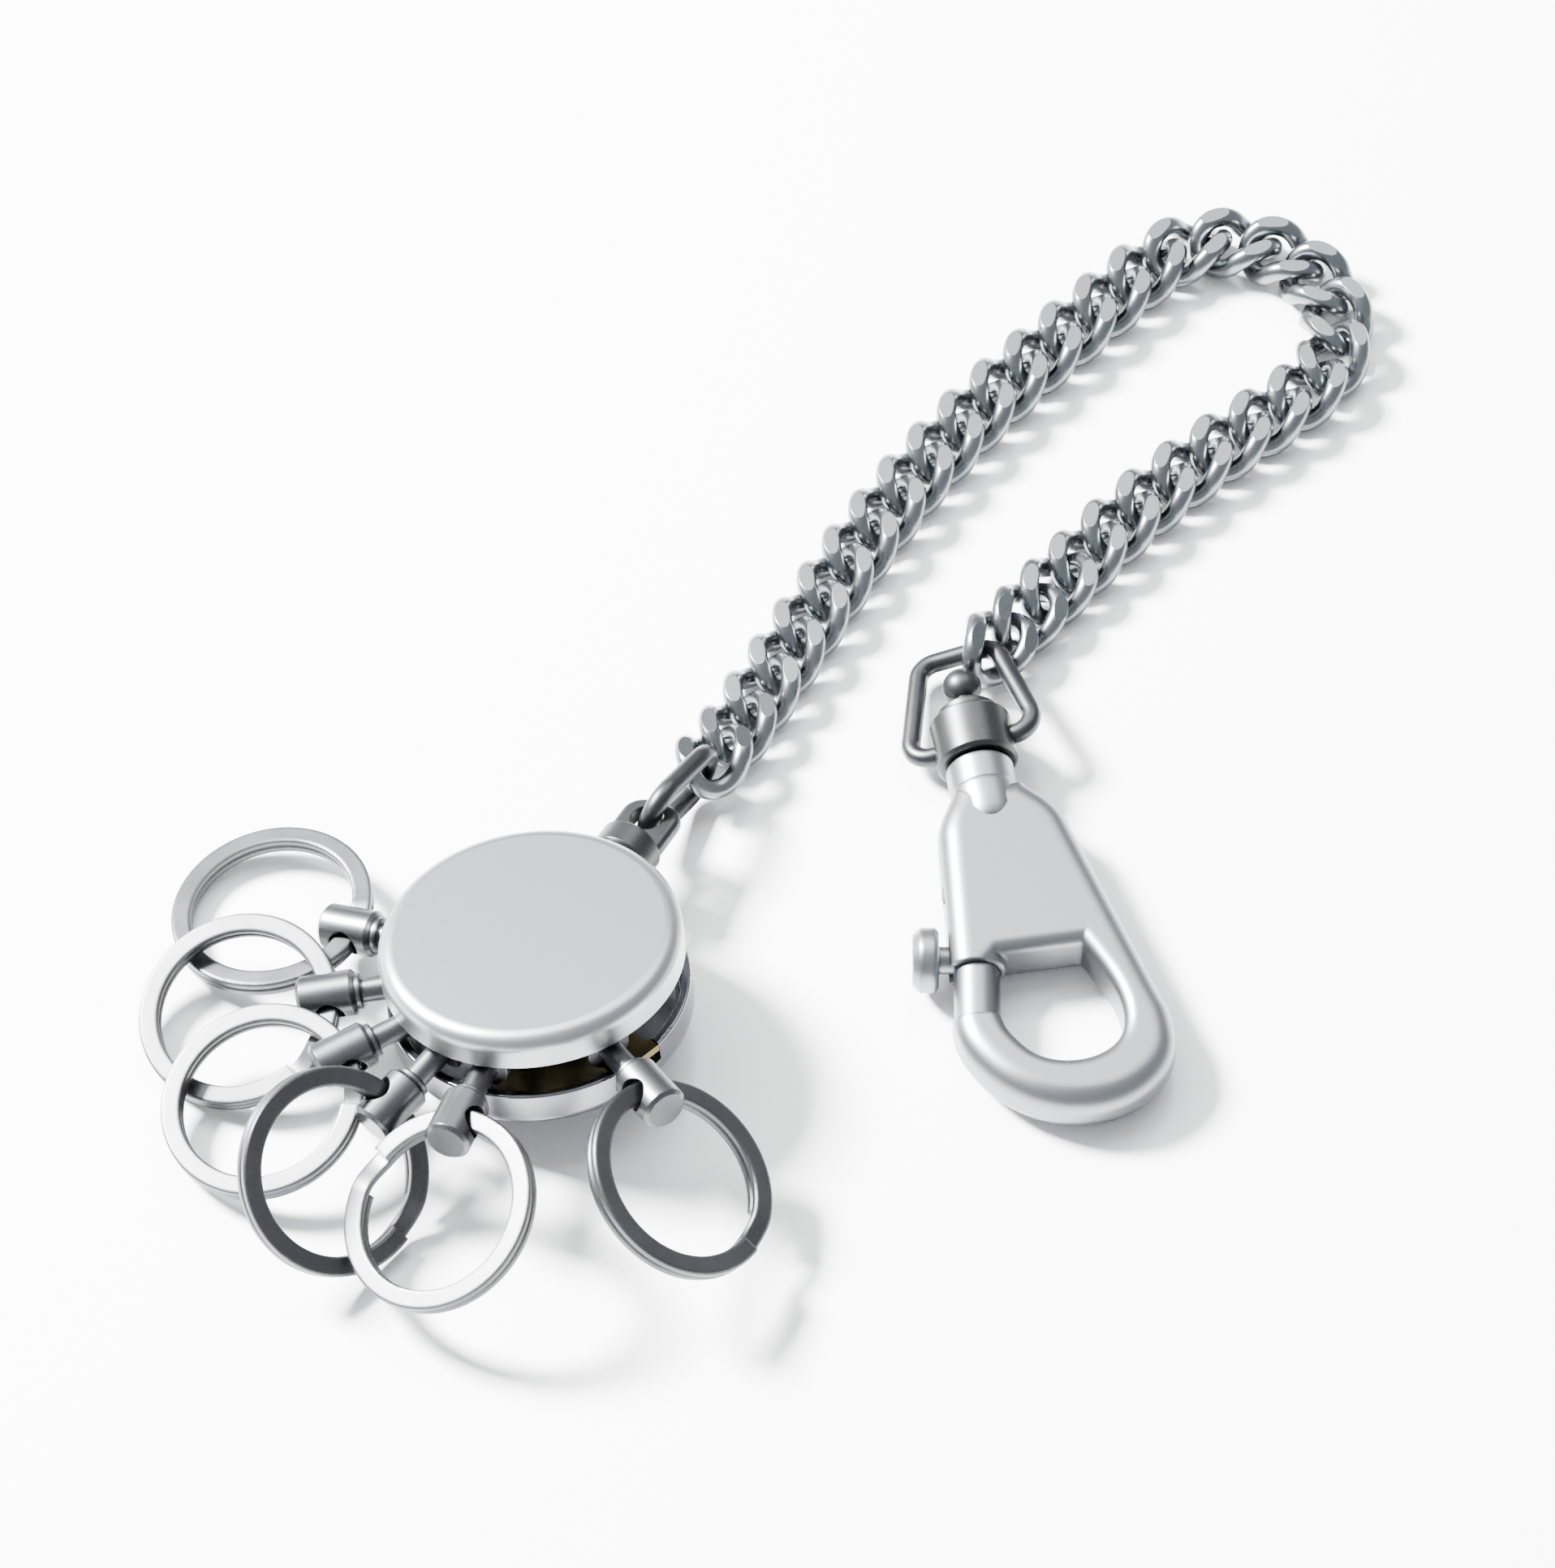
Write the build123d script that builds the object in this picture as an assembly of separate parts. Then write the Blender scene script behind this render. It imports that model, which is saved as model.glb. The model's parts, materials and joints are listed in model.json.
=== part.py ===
from build123d import *
import os
from math import asin, cos, degrees, pi, radians, sin, sqrt

# Key organiser: a round two-part case whose edge channel carries six sliding key carriers with split
# rings, and a curb chain that ends in a swivelling trigger snap. Millimetres, +Z up, lying on a table.
# The origin is the middle of the laid-out object's box, at table height.

# ---- round case ----
case_dia = 35.0            # cover and shell outside diameter
wall = 1.2                 # sheet thickness of cover and shell
shell_height = 5.0         # underside to the top of the shell's rim
channel_gap = 4.4          # open channel between shell rim and cover skirt
cover_height = 4.5         # skirt edge to the flat top
cover_roll = 1.9           # rolled edge radius of the cover
shell_roll = 1.6           # rolled edge radius of the shell
hub_dia = 16.0
screw_dia = 3.0
screw_head_dia = 5.6
screw_head_height = 0.7
boss_dia = 6.0             # threaded boss under the cover
boss_height = 3.0
case_lean = 12.0           # degrees the case leans while it lies on its far edge
case_lean_toward = 122.0   # compass direction of that lean, degrees from +X
case_x, case_y = -26.7, -35.5

# ---- release gate in the shell's rim ----
gate_angle = 314.0
gate_width = 5.6
gate_notch_depth = 2.4
gate_radial = 4.6          # how far the block reaches inward
gate_top = 2.6             # block height above the shell's floor, below the carriers' path
gate_spring_in = -2.9      # the spring's place, inward from the shell wall
gate_travel = 1.3
gate_spring_dia = 2.6
gate_spring_wire = 0.35
gate_spring_turns = 3

# ---- key carriers ----
carrier_angles = [155, 181, 204, 227, 250, 304]   # round the case, degrees
carrier_droops = [6.3, 5.8, 7.9, 12.5, 0.9, 2.8]   # how far each one hangs down, degrees
carrier_spins = [-6.8, -21.2, -15.2, -55.7, 13.5, -27.2]   # turn about its own stem, degrees
flange_dia = 5.4
flange_thickness = 1.2
flange_radius_at = 14.9    # radius of the flange's path in the channel
stem_dia = 2.9
collar_dia = 4.2
collar_length = 0.7
head_start = 5.75          # flange centre to the inner end of the head
head_dia = 5.4
head_length = 6.8
head_edge = 0.45
cross_hole_dia = 3.7

# ---- split rings ----
ring_dia = 23.7
ring_band = 2.3            # radial width of the flat wire
coil_height = 0.98         # height of one coil
coil_gap = 0.05
ring_jog = 26.0            # degrees over which the wire climbs from coil to coil
ring_edge = 0.3
ring_swings = [-5.6, 1.5, 6.7, -6.9, 25.6, 30.7]   # swing down in the cross hole, degrees
ring_turns = [200, 150, 170, 120, 260, 60]        # where each ring's wire ends lie, degrees

# ---- swivel and joining link at the case ----
swivel_angle = 62.0
swivel_flange_dia = 7.6
swivel_flange_length = 3.6
swivel_reach = 19.2        # case axis to the flange's inner face
swivel_dish_dia = 6.0
swivel_dish_depth = 1.4
swivel_stem_dia = 3.0
spigot_dia = 2.4
spigot_length = 1.6
swivel_clearance = 0.06
tab_thickness = 2.0
tab_length = 6.6
tab_hole_wall = 1.1        # left between the hole and the tab's end
tab_hole_dia = 4.0
joining_wire = 2.4
joining_length = 15.6
joining_width = 9.2
joining_heading = 58.0
joining_roll = -84.0       # its plane stands this far up from flat

# ---- curb chain ----
link_wire = 2.4
link_length = 11.7         # outside, end to end
link_width = 9.2           # outside, across
link_twist = 52.0          # tilt of each link end about the chain's line
link_rise = 55.0           # climb of the sides where they cross the middle
link_height = 4.9          # between the ground flats
link_clearance = 0.7       # play between neighbouring links when the chain is straight
# headings: links in a row, and the turn from each to the next (degrees, left positive)
chain_start_heading = 62.0
chain_turns = [(5, 0.0), (7, -2.3), (3, 0.0), (7, -26.0), (1, -5.4), (1, 0.0), (4, 3.0), (3, 1.0)]
chain_descents = [14, 7]   # degrees the first links dip on their way down from the case
chain_climbs = [3, 6, 8]   # degrees the last links rise toward the bail
chain_rolls = [-12, -24, -32]                     # roll of the last links, into the bail

# ---- trigger snap ----
snap_heading = -81.0
bail_wire = 2.3
bail_top_width = 9.2       # between wire centres at the chain end
bail_foot_width = 16.0     # between wire centres at the barrel
bail_height = 14.4         # pivot to the middle of the top bar
barrel_dia = 9.6
barrel_length = 8.0
barrel_crown_dia = 7.2
barrel_crown_length = 1.6
pivot_depth = 2.2          # how far the bail ends enter the barrel
pivot_clearance = 0.08
ball_dia = 4.6
ball_neck_dia = 2.4
ball_at = -7.4             # ball's centre, from the barrel's middle
bail_pivot_at = 1.0        # the bail's pivot, from the barrel's middle
snap_gap = 0.3             # between barrel and the body's neck
neck_dia = 8.0
body_thickness = 7.0
body_edge = 2.8            # rounding of the outer edges
eye_edge = 1.6             # rounding round the eye
bolt_dia = 5.4
bolt_clearance = 0.1
mouth = 7.4                # bolt travel, which is the mouth it closes
knob_dia = 7.6
knob_height = 3.0
knob_stem_dia = 3.2
knob_gap = 1.0
bolt_spring_dia = 3.6
bolt_spring_wire = 0.5
bolt_spring_turns = 7
bolt_end = (40.0, -6.3)    # where the bolt meets the tip, along and across the snap
bolt_slant = -9.0          # degrees the bolt leans out from the snap's line
body_reach = 50.0          # barrel to the point of the body that touches the table
bail_roll = 15.0           # barrel and bail turned about the snap's line
bail_cross = 4.1           # where the last link crosses the bail's top bar, from its middle
bail_back = 2.15           # the bar's middle, back from the last link's crossing point
bail_corner = 2.4
ball_pin_depth = 5.0
neck_length = 7.5
housing_wall = 0.6
housing_length = 17.6
bore_length = 16.6         # the bolt's bore behind the mouth
bolt_grip = 8.2            # how far the shut bolt reaches into its bore
spring_bore = 8.3
knob_from_mouth = 1.9

os.makedirs("parts", exist_ok=True)

case_r = case_dia / 2
channel_z = shell_height + channel_gap / 2
skirt_z = shell_height + channel_gap
case_height = skirt_z + cover_height
foot_r = case_r - shell_roll


# ---------------------------------------------------------------- helpers
def turned(*points):
    """A solid turned about Z from (radius, height) points."""
    return revolve(make_face(Polyline(*[(r, 0, z) for r, z in points], close=True)), Axis.Z)


def turned_x(*points):
    """A solid turned about X from (distance along X, radius) points."""
    return revolve(make_face(Polyline(*[(x, r, 0) for x, r in points], close=True)), Axis.X)


def rod(radius, start, end):
    """A round bar along X."""
    return Location((start, 0, 0), (0, 90, 0)) * Cylinder(radius, end - start, align=BASE)


def spring(dia, wire, length, turns):
    """A coil spring along Z, from 0 to its length."""
    rise = length - wire
    path = Helix(rise / turns, rise, (dia - wire) / 2)
    coil = sweep(Plane(path @ 0, z_dir=path % 0) * Circle(wire / 2), path=path, is_frenet=True)
    return Location((0, 0, wire / 2)) * coil


BASE = (Align.CENTER, Align.CENTER, Align.MIN)


# ---------------------------------------------------------------- where things lie
def case_place():
    """The case's own frame: its underside middle, leaning on its far edge."""
    lift = foot_r * sin(radians(case_lean))
    turn = Location((0, 0, 0), (0, 0, case_lean_toward))
    back = Location((0, 0, 0), (0, 0, -case_lean_toward))
    return Location((case_x, case_y, lift)) * turn * Location((0, 0, 0), (0, case_lean, 0)) * back


def carrier_place(i):
    """Frame of carrier i: at its flange, X along its stem, Y along its cross hole."""
    round_case = Location((0, 0, 0), (0, 0, carrier_angles[i]))
    out = Location((flange_radius_at, 0, channel_z), (0, carrier_droops[i], 0))
    return case_place() * round_case * out * Location((0, 0, 0), (carrier_spins[i], 0, 0))


hole_at = head_start + head_length / 2
ring_r = (ring_dia - ring_band) / 2
# the ring curves inside the hole, so its wire is centred on the hole's length
ring_sag = (ring_r - sqrt(ring_r ** 2 - (head_dia / 2) ** 2)) / 2


def hole_place(i):
    """Frame at carrier i's cross hole, swung the way its ring lies."""
    return carrier_place(i) * Location((hole_at, 0, 0), (0, ring_swings[i], 0))


def ring_place(i):
    """Frame of split ring i: its middle, Z along its axis."""
    return hole_place(i) * Location((ring_r - ring_sag, 0, 0))


def swivel_place():
    """Frame of the swivel: X outward along its axis, at the flange's inner face."""
    out = Location((swivel_reach, 0, channel_z))
    return case_place() * Location((0, 0, 0), (0, 0, swivel_angle)) * out


link_reach = link_length - link_wire                     # wire centre to wire centre, end to end
link_pitch = link_reach - link_wire - link_clearance
joining_reach = joining_length - joining_wire
joining_span = joining_reach - (joining_wire + link_clearance) / 2
tab_hole_at = swivel_flange_length + tab_length - tab_hole_dia / 2 - tab_hole_wall
chain_z = link_height / 2


def chain_headings():
    headings = [chain_start_heading]
    for count, turn in chain_turns:
        for _ in range(count):
            headings.append(headings[-1] + turn)
    return headings


link_count = len(chain_headings())
level = link_count - len(chain_descents) - len(chain_climbs)
descents = chain_descents + [0] * level + [-climb for climb in chain_climbs]
rolls = [0] * (link_count - len(chain_rolls)) + chain_rolls
lead_drop = sum(link_pitch * sin(radians(descent)) for descent in chain_descents)


def joining_place():
    """Frame of the joining link: at its wire in the tab's hole, X toward the chain."""
    hole = (swivel_place() * Location((tab_hole_at, 0, 0))).position
    drop = asin((hole.Z - chain_z - lead_drop) / joining_span)
    aim = Location((hole.X, hole.Y, hole.Z), (0, 0, joining_heading))
    return aim * Location((0, 0, 0), (0, degrees(drop), 0)) * Location((0, 0, 0), (joining_roll, 0, 0))


def chain_joints():
    """Points where neighbouring links cross, from the joining link to the bail."""
    points = [(joining_place() * Location((joining_span, 0, 0))).position]
    for heading, descent in zip(chain_headings(), descents):
        a, d = radians(heading), radians(descent)
        points.append(points[-1] + Vector(cos(a) * cos(d), sin(a) * cos(d), -sin(d)) * link_pitch)
    return points


def joint_place(i):
    """Frame at the crossing point before link i (0 first), X along link i, not rolled."""
    heading = Location(chain_joints()[i], (0, 0, chain_headings()[i]))
    return heading * Location((0, 0, 0), (0, descents[i], 0))


def link_place(i):
    """Frame of chain link i (0 first): its middle, X toward the snap."""
    return joint_place(i) * Location((link_pitch / 2, 0, 0), (rolls[i], 0, 0))


# ---------------------------------------------------------------- case
def top_cover():
    r, h = case_r, cover_height
    outside = make_face(Polyline((0, 0, 0), (r, 0, 0), (r, 0, h), (0, 0, h), close=True))
    inside = make_face(Polyline((0, 0, 0), (r - wall, 0, 0), (r - wall, 0, h - wall), (0, 0, h - wall),
                                close=True))
    pan = revolve(outside, Axis.Z)
    pan = fillet(pan.edges().sort_by(Axis.Z)[-1], cover_roll)
    room = revolve(inside, Axis.Z)
    room = fillet(room.edges().sort_by(Axis.Z)[-1], cover_roll - 0.7)
    pan -= room
    pan = fillet(pan.edges().group_by(Axis.Z)[0], 0.3)
    boss = Cylinder(boss_dia / 2, boss_height, align=BASE) - Cylinder(screw_dia / 2, boss_height - 0.6, align=BASE)
    return Location((0, 0, skirt_z)) * (pan + Location((0, 0, h - wall - boss_height)) * boss)


def bottom_shell():
    r, h = case_r, shell_height
    pan = fillet(Cylinder(r, h, align=BASE).edges().sort_by(Axis.Z)[0], shell_roll)
    room = Location((0, 0, wall)) * Cylinder(r - wall, h, align=BASE)
    room = fillet(room.edges().sort_by(Axis.Z)[0], shell_roll - 0.6)
    pan -= room
    pan = fillet(pan.edges().group_by(Axis.Z)[-1], 0.3)
    pan -= Cylinder(screw_dia / 2 + 0.1, 3 * wall)
    pan -= Cylinder(screw_head_dia / 2 + 0.1, 2 * screw_head_height)
    notch = Box(3 * wall, gate_width, 2 * gate_notch_depth)
    pan -= Location((0, 0, 0), (0, 0, gate_angle)) * Location((r, 0, h)) * notch
    return pan


def centre_hub():
    bottom, step, top = wall, case_height - wall - boss_height, case_height - wall
    rim, waist, socket = hub_dia / 2, hub_dia / 2 - 1, boss_dia / 2 + 0.05
    drum = turned((0, bottom), (rim, bottom), (rim, bottom + 1), (waist, bottom + 2), (waist, step), (rim, step),
                  (rim, top), (socket, top), (socket, step), (0, step))
    drum -= Cylinder(screw_dia / 2 + 0.05, 3 * case_height)
    across = Location((0, 0, 0), (0, 0, swivel_angle)) * Location((0, 0, channel_z))
    return drum - across * rod(swivel_stem_dia / 2 + 0.01, hub_dia / 4, hub_dia)


def hub_screw():
    head = Cylinder(screw_head_dia / 2, screw_head_height, align=BASE)
    reach = case_height - wall - 0.8
    shank = Cylinder(screw_dia / 2 - 0.02, reach, align=BASE)
    slot = Box(screw_head_dia + 1, 0.7, 0.6)
    return head + shank - slot


def gate_frame():
    """At the inner face of the shell wall, on the shell's floor, X outward."""
    return Location((0, 0, 0), (0, 0, gate_angle)) * Location((case_r - wall, 0, wall))


def release_gate():
    """Brass block under the carriers' path, with a lip that fills the notch in the rim."""
    foot, top = gate_travel + 0.3, shell_height - wall - 0.1
    low = top - gate_notch_depth + gate_travel + 0.2
    inner, lip = -gate_radial, wall - 0.15
    profile = Polyline((inner, 0, foot), (inner, 0, gate_top), (-0.6, 0, gate_top), (-0.6, 0, top), (lip, 0, top),
                       (lip, 0, low), (-0.3, 0, low), (-0.3, 0, foot + 0.5), (-0.8, 0, foot), close=True)
    gate = extrude(make_face(profile), gate_width / 2 - 0.1, dir=(0, 1, 0), both=True)
    seat = Location((gate_spring_in, 0, foot - 0.1)) * Cylinder(gate_spring_dia / 2 + 0.15, 0.6, align=BASE)
    return gate_frame() * (gate - seat)


def gate_spring():
    length = gate_travel + 0.3 + 0.5 - 0.1
    coil = spring(gate_spring_dia, gate_spring_wire, length, gate_spring_turns)
    return gate_frame() * Location((gate_spring_in, 0, 0.05)) * coil


# ---------------------------------------------------------------- carriers and rings
def key_carrier():
    f, r = flange_thickness / 2, flange_dia / 2
    end, edge, h = head_start + head_length, head_edge, head_dia / 2
    stem, collar, collar_start = stem_dia / 2, collar_dia / 2, head_start - collar_length
    body = turned_x((-f, 0), (-f, r - 0.5), (-f + 0.4, r), (f, r), (f, stem), (collar_start, stem),
                    (collar_start, collar - 0.2), (collar_start + 0.2, collar), (head_start, collar),
                    (head_start, h - edge), (head_start + edge, h), (end - edge, h), (end, h - edge),
                    (end, 0))
    return body - Location((hole_at, 0, 0), (90, 0, 0)) * Cylinder(cross_hole_dia / 2, 2 * head_dia)


def split_ring():
    """Two coils of flat wire, joined by one short climb, with free ends beside it."""
    rise = (coil_height + coil_gap) / 2
    flat = 360 - ring_jog

    def section(angle, z):
        upright = Plane(Location((0, 0, 0), (0, 0, angle)) * Plane.XZ.location)
        return upright * Location((ring_r, z, 0)) * RectangleRounded(ring_band, coil_height, ring_edge)

    low = revolve(section(0, -rise), Axis.Z, flat)
    high = revolve(section(0, rise), Axis.Z, flat)
    steps = [flat, flat + ring_jog * 0.25, flat + ring_jog * 0.5, flat + ring_jog * 0.75, 360]
    climb = loft([section(a, -rise * cos(pi * (a - flat) / ring_jog)) for a in steps])
    return low + climb + high


# ---------------------------------------------------------------- swivel
def swivel_eye():
    r, length = swivel_flange_dia / 2, swivel_flange_length
    dish, clear = swivel_dish_dia / 2, swivel_clearance
    bore, deep = spigot_dia / 2 + clear, swivel_dish_depth
    floor = deep + spigot_length + 0.1
    body = turned_x((0, dish), (0, r - 0.3), (0.3, r), (length - 0.5, r), (length, r - 0.5), (length, 0),
                    (floor, 0), (floor, bore), (deep, bore), (deep, dish))
    tab = Box(tab_length + 1.2, 2 * r - 0.2, tab_thickness, align=(Align.MIN, Align.CENTER, Align.CENTER))
    tab = Location((length - 1.2, 0, 0)) * tab
    tab = fillet(tab.edges().filter_by(Axis.Z).sort_by(Axis.X)[-2:], 2.6)
    tab = fillet(tab.faces().sort_by(Axis.X)[-1].edges().filter_by(Axis.Y), 0.8)
    tab -= Location((tab_hole_at, 0, 0)) * Cylinder(tab_hole_dia / 2, 2 * tab_thickness)
    return body + (tab - rod(bore, 0, floor))


def swivel_pin():
    """Turned pin: fixed in the hub, domed in the eye's dish, its spigot in the eye's bore."""
    start = hub_dia / 4 + 0.4 - swivel_reach
    stem, dome = swivel_stem_dia / 2, swivel_dish_dia / 2 - 0.25
    spigot, seat = spigot_dia / 2, swivel_dish_depth - 0.1
    tip = seat + spigot_length
    return turned_x((start, 0), (start, stem), (-0.5, stem), (-0.2, dome - 0.5), (0.4, dome), (seat, dome),
                    (seat, spigot), (tip, spigot), (tip, 0))


def oval(length, width, wire):
    """A closed oval of round wire in the XY plane: outside length and width."""
    r = (width - wire) / 2
    half = (length - wire) / 2 - r
    right = CenterArc((half, 0), r, -90, 180)
    left = CenterArc((-half, 0), r, 90, 180)
    path = Wire([right, Line((half, r), (-half, r)), left, Line((-half, -r), (half, -r))])
    start = path @ 0
    return sweep(Plane(start, z_dir=path % 0) * Circle(wire / 2), path=path)


# ---------------------------------------------------------------- chain
def tangent_arcs(start, leaving, end, arriving):
    """Two arcs that run smoothly from one point and direction to another."""
    gap, both = end - start, leaving + arriving
    spread = 2 * (1 - leaving.dot(arriving))
    reach = (sqrt(gap.dot(both) ** 2 + spread * gap.dot(gap)) - gap.dot(both)) / spread
    meet = (start + end + (leaving - arriving) * reach) / 2
    middle = (end - arriving * reach) - (start + leaving * reach)
    return Wire([Edge.make_tangent_arc(start, leaving, meet), Edge.make_tangent_arc(meet, middle, end)])


def chain_link():
    """An oval of round wire, twisted end against end, with ground flats above and below."""
    rise, twist = radians(link_rise), radians(link_twist)
    side = Vector(0, (link_width - link_wire) / 2, 0)
    end = Vector(-link_reach / 2, 0, 0)
    path = tangent_arcs(side, Vector(-cos(rise), 0, sin(rise)), end, Vector(0, -cos(twist), -sin(twist)))
    quarter = sweep(Plane(path @ 0, z_dir=path % 0) * Circle(link_wire / 2), path=path)
    ring = quarter
    for turn in [(180, 0, 0), (0, 0, 180), (180, 0, 180)]:
        ring += Location((0, 0, 0), turn) * quarter
    return ring & Box(2 * link_length, 2 * link_width, link_height)


# ---------------------------------------------------------------- trigger snap
snap_tilt = degrees(asin((barrel_dia - body_thickness) / 2 / body_reach))
# the bail leans down from the barrel to the chain's height
chain_end_z = chain_z + sum(link_pitch * sin(radians(climb)) for climb in chain_climbs)
bail_drop = barrel_dia / 2 - chain_end_z + bail_cross * sin(radians(bail_roll))
bail_tilt = -degrees(asin(bail_drop / (bail_height * cos(radians(bail_roll)))))


def bail_place():
    """Frame of the bail: at its pivot on the barrel's line, X toward the snap."""
    heading = chain_headings()[-1]
    last = Location(chain_joints()[-1], (0, 0, heading))
    bar = last * Location((-bail_back, 0, 0), (0, 0, snap_heading - heading))
    tilted = bar * Location((0, 0, 0), (bail_roll, 0, 0)) * Location((0, 0, 0), (0, bail_tilt, 0))
    return tilted * Location((bail_height, -bail_cross, 0))


def barrel_place():
    """Frame of the barrel: its middle, X toward the hook, turned with the bail."""
    level = bail_place() * Location((0, 0, 0), (0, -bail_tilt, 0)) * Location((0, 0, 0), (-bail_roll, 0, 0))
    line = level * Location((0, 0, 0), (0, snap_tilt, 0)) * Location((0, 0, 0), (bail_roll, 0, 0))
    return line * Location((-bail_pivot_at, 0, 0))


def snap_place():
    """Frame of the snap's body: at the barrel's middle, X toward the hook, Y to its left."""
    return barrel_place() * Location((0, 0, 0), (-bail_roll, 0, 0))


def bolt_place():
    """Frame of the bolt: where its end meets the hook's tip, X along its travel."""
    return snap_place() * Location((bolt_end[0], bolt_end[1], 0), (0, 0, bolt_slant))


def hook_bail():
    foot, top, inside = bail_foot_width / 2, bail_top_width / 2, barrel_dia / 2 - pivot_depth
    line = FilletPolyline((0, -inside, 0), (0, -foot, 0), (-bail_height, -top, 0), (-bail_height, top, 0),
                          (0, foot, 0), (0, inside, 0), radius=bail_corner)
    return sweep(Plane(line @ 0, z_dir=line % 0) * Circle(bail_wire / 2), path=line)


def swivel_barrel():
    r, half, crown = barrel_dia / 2, barrel_length / 2, barrel_crown_dia / 2
    low = -half + barrel_crown_length
    bore = ball_neck_dia / 2 + pivot_clearance
    body = turned_x((low - barrel_crown_length, bore), (low - barrel_crown_length, crown - 0.4),
                    (low - barrel_crown_length + 0.4, crown), (low, crown), (low, r - 0.4), (low + 0.4, r),
                    (half - 0.4, r), (half, r - 0.4), (half, bore))
    pivot = Cylinder(bail_wire / 2 + pivot_clearance, 2 * barrel_dia)
    hole = Location((bail_pivot_at, 0, 0), (90, 0, 0)) * pivot
    keep = rod(r - pivot_depth - 0.15, -half, half)
    return body - (hole - keep)


def ball_pin():
    """Ball-headed pin: holds the barrel on the body's neck and lets it turn."""
    r, neck = ball_dia / 2, ball_neck_dia / 2
    start = ball_at + sqrt(r ** 2 - neck ** 2) - 0.05
    ball = Location((ball_at, 0, 0)) * Sphere(r)
    return ball + rod(neck, start, barrel_length / 2 + snap_gap + ball_pin_depth)


def hook_body():
    """Cast body: neck, bolt housing and hook, with the hook's eye and the bolt's bore through it."""
    end_x, end_y = bolt_end
    left = Spline((8.0, -3.8), (10.8, -5.2), (14.5, -6.6), tangents=((1, -0.3), (1, -0.15)))
    side = Line((14.5, -6.6), (end_x, -9.2))
    hook = Spline((end_x, -9.2), (45.6, -7.8), (49.9, -4.7), (52.9, -0.2), (53.9, 4.2), (53.2, 9.2), (50.4, 13.4),
                  (46.0, 15.6), (42.0, 15.6), (38.0, 14.6), tangents=((1, -0.05), (-1, -0.25)))
    right = Line((38.0, 14.6), (14.5, 8.8))
    shoulder = Spline((14.5, 8.8), (11.0, 7.0), (8.0, 4.4), tangents=((-1, -0.25), (-1, -0.6)))
    foot = Line((8.0, 4.4), (8.0, -3.8))
    eye = Spline((31.8, 7.2), (37.1, 9.4), (41.8, 10.2), (44.9, 9.3), (47.0, 6.4), (47.3, 2.8), (45.7, -0.8),
                 (43.0, -2.8), (end_x, -3.7), tangents=((1, 0.45), (-1, -0.15)))
    throat = Polyline((end_x, -3.7), (33.0, -3.7), (31.8, -2.5), (31.8, 7.2))
    plate = extrude(make_face([left, side, hook, right, shoulder, foot]), body_thickness / 2, both=True)
    plate -= extrude(make_face([eye, *throat.edges()]), body_thickness, both=True)
    faces = plate.faces().sort_by(Axis.Z)
    plate = fillet(faces[-1].outer_wire().edges() + faces[0].outer_wire().edges(), body_edge)
    faces = plate.faces().sort_by(Axis.Z)
    plate = fillet(faces[-1].inner_wires().edges() + faces[0].inner_wires().edges(), eye_edge)
    to_bolt = Location((end_x, end_y, 0), (0, 0, bolt_slant))
    bore = bolt_dia / 2 + bolt_clearance
    housing = rod(bore + housing_wall, -mouth - housing_length, -mouth)
    housing = fillet(housing.edges(), 0.8)
    body = plate + to_bolt * housing
    gap = Box(mouth, 3 * bolt_dia, 2 * body_thickness, align=(Align.MAX, Align.MAX, Align.CENTER))
    body -= to_bolt * Location((0, bolt_dia, 0)) * gap
    body -= to_bolt * rod(bore, -mouth - bore_length, -mouth + 0.5)
    slot_width = knob_stem_dia + 2 * bolt_clearance
    slot = Box(mouth + knob_from_mouth + slot_width / 2, bolt_dia * 2, slot_width,
               align=(Align.MAX, Align.MAX, Align.CENTER))
    body -= to_bolt * Location((-mouth, 0, 0)) * slot
    start = barrel_length / 2 + snap_gap
    neck = fillet(rod(neck_dia / 2, start, start + neck_length).edges().sort_by(Axis.X)[:1], 0.5)
    body += neck
    return body - rod(ball_neck_dia / 2, start - 1, start + ball_pin_depth)


def hook_bolt():
    """Sliding bolt, bored from behind for its spring and across for the knob's stem."""
    tail = -mouth - bolt_grip
    body = rod(bolt_dia / 2, tail, -0.1)
    body = chamfer(body.edges().sort_by(Axis.X)[:1], 0.3)
    body -= rod(bolt_spring_dia / 2 + 0.2, tail - 1, tail + spring_bore)
    stem = Cylinder(knob_stem_dia / 2, bolt_dia, align=BASE)
    return body - Location((-mouth - knob_from_mouth, 0, 0), (90, 0, 0)) * stem


def thumb_knob():
    """Mushroom knob on a stem, pressed into the bolt's side."""
    inside = bolt_spring_dia / 2 + 0.25
    out = bolt_dia / 2 + bolt_clearance + housing_wall + knob_gap
    r, stem = knob_dia / 2, knob_stem_dia / 2
    knob = turned((0, inside), (stem, inside), (stem, out), (r - 0.5, out), (r, out + 0.5),
                  (r, out + knob_height - 0.9), (r - 0.9, out + knob_height), (0, out + knob_height))
    return Location((-mouth - knob_from_mouth, 0, 0), (90, 0, 0)) * knob


def bolt_spring():
    length = bore_length - bolt_grip - 0.1
    return Location((-mouth - bore_length + 0.05, 0, 0), (0, 90, 0)) * spring(
        bolt_spring_dia, bolt_spring_wire, length, bolt_spring_turns)


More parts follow.
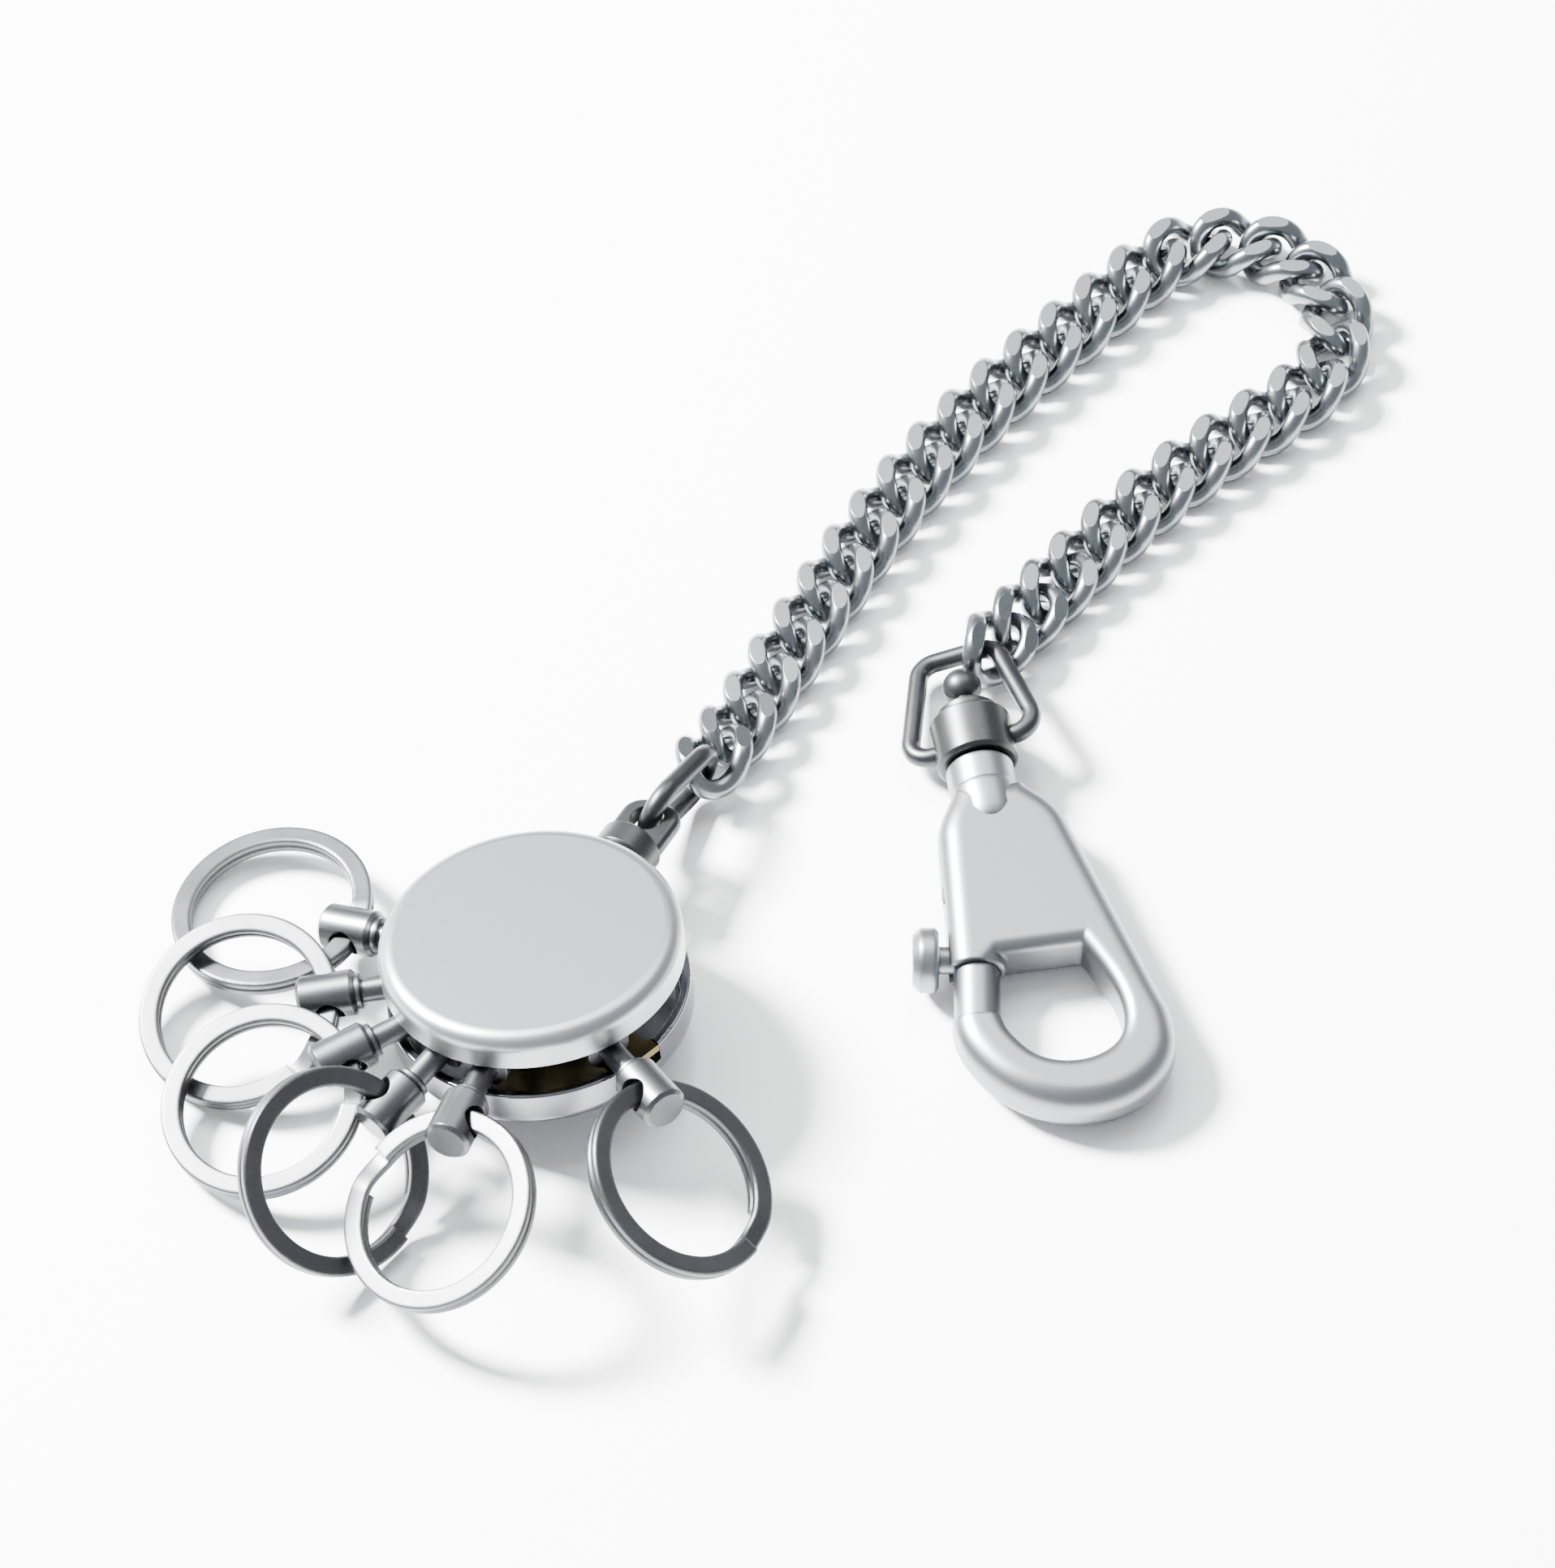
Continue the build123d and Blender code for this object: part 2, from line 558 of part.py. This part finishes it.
# ---------------------------------------------------------------- every node where it lies
def assembly():
    """All sub-parts in place, by node name, on the table but not yet centred."""
    case = case_place()
    nodes = {"top_cover": case * top_cover(), "bottom_shell": case * bottom_shell(),
             "centre_hub": case * centre_hub(), "hub_screw": case * hub_screw(),
             "release_gate": case * release_gate(), "gate_spring": case * gate_spring()}
    carrier, ring, link = key_carrier(), split_ring(), chain_link()
    for i in range(len(carrier_angles)):
        nodes[f"key_carrier_{i + 1}"] = carrier_place(i) * carrier
        nodes[f"split_ring_{i + 1}"] = ring_place(i) * Location((0, 0, 0), (0, 0, ring_turns[i])) * ring
    nodes["swivel_pin"] = swivel_place() * swivel_pin()
    nodes["swivel_eye"] = swivel_place() * swivel_eye()
    joining = Location((joining_reach / 2, 0, 0)) * oval(joining_length, joining_width, joining_wire)
    nodes["joining_link"] = joining_place() * joining
    for i in range(link_count):
        nodes[f"chain_link_{i + 1:02d}"] = link_place(i) * link
    nodes["hook_bail"] = bail_place() * hook_bail()
    nodes["swivel_barrel"] = barrel_place() * swivel_barrel()
    nodes["ball_pin"] = snap_place() * ball_pin()
    nodes["hook_body"] = snap_place() * hook_body()
    nodes["hook_bolt"] = bolt_place() * hook_bolt()
    nodes["thumb_knob"] = bolt_place() * thumb_knob()
    nodes["bolt_spring"] = bolt_place() * bolt_spring()
    return nodes


def centring(nodes):
    """The move that puts the middle of the whole object's box on the origin, at table height."""
    boxes = [shape.bounding_box() for shape in nodes.values()]
    low = [min(b.min.X for b in boxes), min(b.min.Y for b in boxes), min(b.min.Z for b in boxes)]
    high = [max(b.max.X for b in boxes), max(b.max.Y for b in boxes)]
    return Location((-(low[0] + high[0]) / 2, -(low[1] + high[1]) / 2, -low[2]))


nodes = assembly()
to_origin = centring(nodes)
for name, shape in nodes.items():
    export_step(to_origin * shape, f"parts/{name}.step")
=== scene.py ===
import bpy
import json
import math
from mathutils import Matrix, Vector


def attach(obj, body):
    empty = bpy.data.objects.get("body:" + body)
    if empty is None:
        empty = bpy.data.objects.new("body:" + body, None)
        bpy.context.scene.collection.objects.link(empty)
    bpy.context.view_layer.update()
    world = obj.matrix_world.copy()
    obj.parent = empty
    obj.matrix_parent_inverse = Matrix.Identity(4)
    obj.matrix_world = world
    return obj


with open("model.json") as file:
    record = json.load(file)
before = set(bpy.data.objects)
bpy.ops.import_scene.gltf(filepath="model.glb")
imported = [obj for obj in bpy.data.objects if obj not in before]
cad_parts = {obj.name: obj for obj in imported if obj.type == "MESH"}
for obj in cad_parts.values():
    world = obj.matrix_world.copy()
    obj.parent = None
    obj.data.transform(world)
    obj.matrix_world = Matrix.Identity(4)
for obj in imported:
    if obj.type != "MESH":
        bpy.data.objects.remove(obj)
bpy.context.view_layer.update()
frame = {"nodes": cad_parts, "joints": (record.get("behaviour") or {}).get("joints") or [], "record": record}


# ---------------------------------------------------------------- materials
def new_material(name):
    """An empty node material with its principled shader and object coordinates."""
    material = bpy.data.materials.new(name)
    material.use_nodes = True
    tree = material.node_tree
    shader = tree.nodes["Principled BSDF"]
    place = tree.nodes.new("ShaderNodeTexCoord")
    return material, tree, shader, place.outputs["Object"]


def noise(tree, place, scale, detail=2.0, stretch=None):
    """A noise texture in object space; scale is in blobs per metre."""
    node = tree.nodes.new("ShaderNodeTexNoise")
    node.inputs["Scale"].default_value = scale
    node.inputs["Detail"].default_value = detail
    if stretch:
        mapping = tree.nodes.new("ShaderNodeMapping")
        mapping.inputs["Scale"].default_value = stretch
        tree.links.new(place, mapping.inputs["Vector"])
        place = mapping.outputs["Vector"]
    tree.links.new(place, node.inputs["Vector"])
    return node.outputs["Fac"]


def ranged(tree, value, low, high):
    """The value stretched from the middle of a noise to the range low..high."""
    node = tree.nodes.new("ShaderNodeMapRange")
    node.inputs["From Min"].default_value = 0.3
    node.inputs["From Max"].default_value = 0.7
    node.inputs["To Min"].default_value = low
    node.inputs["To Max"].default_value = high
    tree.links.new(value, node.inputs["Value"])
    return node.outputs["Result"]


def mixed(tree, value, dark, light):
    node = tree.nodes.new("ShaderNodeMix")
    node.data_type = "RGBA"
    node.inputs["A"].default_value = (*dark, 1)
    node.inputs["B"].default_value = (*light, 1)
    tree.links.new(value, node.inputs["Factor"])
    return node.outputs["Result"]


def metal(name, tint, rough, wander=0.04, grain=0.15, grain_scale=9000, depth=0.000004, round_edge=0.0, steady=False):
    """Metal with a fine grain: tint wanders a little, the grain shows in roughness and relief."""
    material, tree, shader, place = new_material(name)
    shader.inputs["Metallic"].default_value = 1.0
    soft = noise(tree, place, 160, 3)
    fine = noise(tree, place, grain_scale, 1)
    dark = [c * (1 - wander) for c in tint]
    light = [min(1.0, c * (1 + wander)) for c in tint]
    tone = tree.nodes.new("ShaderNodeMath")
    tone.operation = "MULTIPLY_ADD"
    tone.inputs[1].default_value = 0.6
    tree.links.new(ranged(tree, fine, 0, 1), tone.inputs[0])
    tree.links.new(ranged(tree, soft, 0, 0.1 if steady else 0.4), tone.inputs[2])
    tree.links.new(mixed(tree, tone.outputs["Value"], dark, light), shader.inputs["Base Color"])
    tree.links.new(ranged(tree, fine if steady else soft, rough - 0.02, rough + 0.02), shader.inputs["Roughness"])
    bump = tree.nodes.new("ShaderNodeBump")
    bump.inputs["Strength"].default_value = grain
    bump.inputs["Distance"].default_value = depth
    tree.links.new(fine, bump.inputs["Height"])
    if round_edge:
        bevel = tree.nodes.new("ShaderNodeBevel")
        bevel.inputs["Radius"].default_value = round_edge
        tree.links.new(bevel.outputs["Normal"], bump.inputs["Normal"])
    tree.links.new(bump.outputs["Normal"], shader.inputs["Normal"])
    return material


looks = {
    "satin_cover": metal("satin_cover", (0.33, 0.335, 0.345), 0.34, 0.01, 0.15, steady=True),
    "bright_shell": metal("bright_shell", (0.17, 0.178, 0.192), 0.20, 0.03, 0.1),
    "brass": metal("brass", (0.30, 0.23, 0.11), 0.16, 0.06, 0.1),
    "carrier_steel": metal("carrier_steel", (0.095, 0.095, 0.102), 0.34, 0.22, 1.0, 7000, round_edge=0.0002),
    "ring_steel": metal("ring_steel", (0.085, 0.085, 0.09), 0.34, 0.22, 1.0, 7000, round_edge=0.00045),
    "chain_steel": metal("chain_steel", (0.17, 0.182, 0.192), 0.27, 0.14, 0.8, 6000, round_edge=0.00012),
    "dark_steel": metal("dark_steel", (0.05, 0.05, 0.053), 0.36, 0.22, 1.0, 7000, round_edge=0.0002),
    "pearl_chrome": metal("pearl_chrome", (0.20, 0.21, 0.222), 0.36, 0.05, 0.6, 8000, round_edge=0.0006,
                          steady=True),
    "spring_steel": metal("spring_steel", (0.16, 0.16, 0.17), 0.20, 0.05, 0.2),
}
slots = {row["node"]: row["material_slot"] for row in frame["record"]["subparts"]}
for name, piece in frame["nodes"].items():
    piece.data.materials.clear()
    piece.data.materials.append(looks[slots[name]])


# ---------------------------------------------------------------- the snap's neck, run smoothly into its body
def lathe(name, place, along, profile, steps=72):
    """A closed turned mesh: profile is (distance along, radius) in metres from the place."""
    turn = Vector(along).to_track_quat("Z", "Y").to_matrix()
    points = [Vector(place) + turn @ Vector((r * math.cos(a), r * math.sin(a), x))
              for x, r in profile for a in (2 * math.pi * k / steps for k in range(steps))]
    faces = [(i * steps + k, i * steps + (k + 1) % steps, (i + 1) * steps + (k + 1) % steps, (i + 1) * steps + k)
             for i in range(len(profile) - 1) for k in range(steps)]
    faces.append(tuple(range(steps))[::-1])
    faces.append(tuple((len(profile) - 1) * steps + k for k in range(steps)))
    mesh = bpy.data.meshes.new(name)
    mesh.from_pydata(points, [], faces)
    mesh.shade_smooth()
    thing = bpy.data.objects.new(name, mesh)
    bpy.context.scene.collection.objects.link(thing)
    return thing


joints = {joint["name"]: joint for joint in frame["joints"]}
swivel = joints["hook_swivel"]
neck_line = [(0.0072, 0.00395), (0.0085, 0.00404), (0.0118, 0.00402), (0.0128, 0.00370), (0.0136, 0.00340)]
neck = lathe("neck_blend", swivel["pos_m"], swivel["axis"], neck_line)
neck.data.materials.append(looks["pearl_chrome"])
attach(neck, "hook")


# ---------------------------------------------------------------- floor
def white_floor():
    bpy.ops.mesh.primitive_plane_add(size=8)
    floor = bpy.context.object
    floor.name = "floor"
    material, tree, shader, place = new_material("floor")
    tree.links.new(mixed(tree, noise(tree, place, 3, 1), (0.93, 0.93, 0.935), (0.95, 0.95, 0.95)),
                   shader.inputs["Base Color"])
    shader.inputs["Roughness"].default_value = 0.16
    shader.inputs["Specular IOR Level"].default_value = 0.5
    floor.data.materials.append(material)


white_floor()


# ---------------------------------------------------------------- light
def area(name, at, toward, size, power, size_y=None):
    lamp = bpy.data.lights.new(name, "AREA")
    lamp.energy, lamp.size = power, size
    if size_y:
        lamp.shape, lamp.size_y = "RECTANGLE", size_y
    thing = bpy.data.objects.new(name, lamp)
    thing.location = at
    thing.rotation_euler = (Vector(toward) - Vector(at)).to_track_quat("-Z", "Y").to_euler()
    bpy.context.scene.collection.objects.link(thing)
    return thing


world = bpy.data.worlds.new("world")
bpy.context.scene.world = world
world.use_nodes = True
backdrop = world.node_tree.nodes["Background"]
backdrop.inputs["Color"].default_value = (0.90, 0.95, 1.0, 1)
backdrop.inputs["Strength"].default_value = 0.9
middle = (0, 0, 0)
area("top", (-0.1, 0.45, 1.0), middle, 1.5, 22, 0.8)
area("key", (-0.85, 0.4, 0.85), middle, 0.3, 260)

# ---------------------------------------------------------------- camera
aim = Vector((0.00017, -0.00345, 0.00043))    # the middle of the view, on the table
distance, elevation = 0.953, math.radians(53.8)
camera = bpy.data.objects.new("camera", bpy.data.cameras.new("camera"))
bpy.context.scene.collection.objects.link(camera)
back = Vector((0, -math.cos(elevation), math.sin(elevation)))
camera.location = aim + back * distance
camera.rotation_euler = (-back).to_track_quat("-Z", "Y").to_euler()
camera.data.sensor_width = 36
camera.data.lens = 186.34
camera.data.clip_start, camera.data.clip_end = 0.05, 20
bpy.context.scene.camera = camera
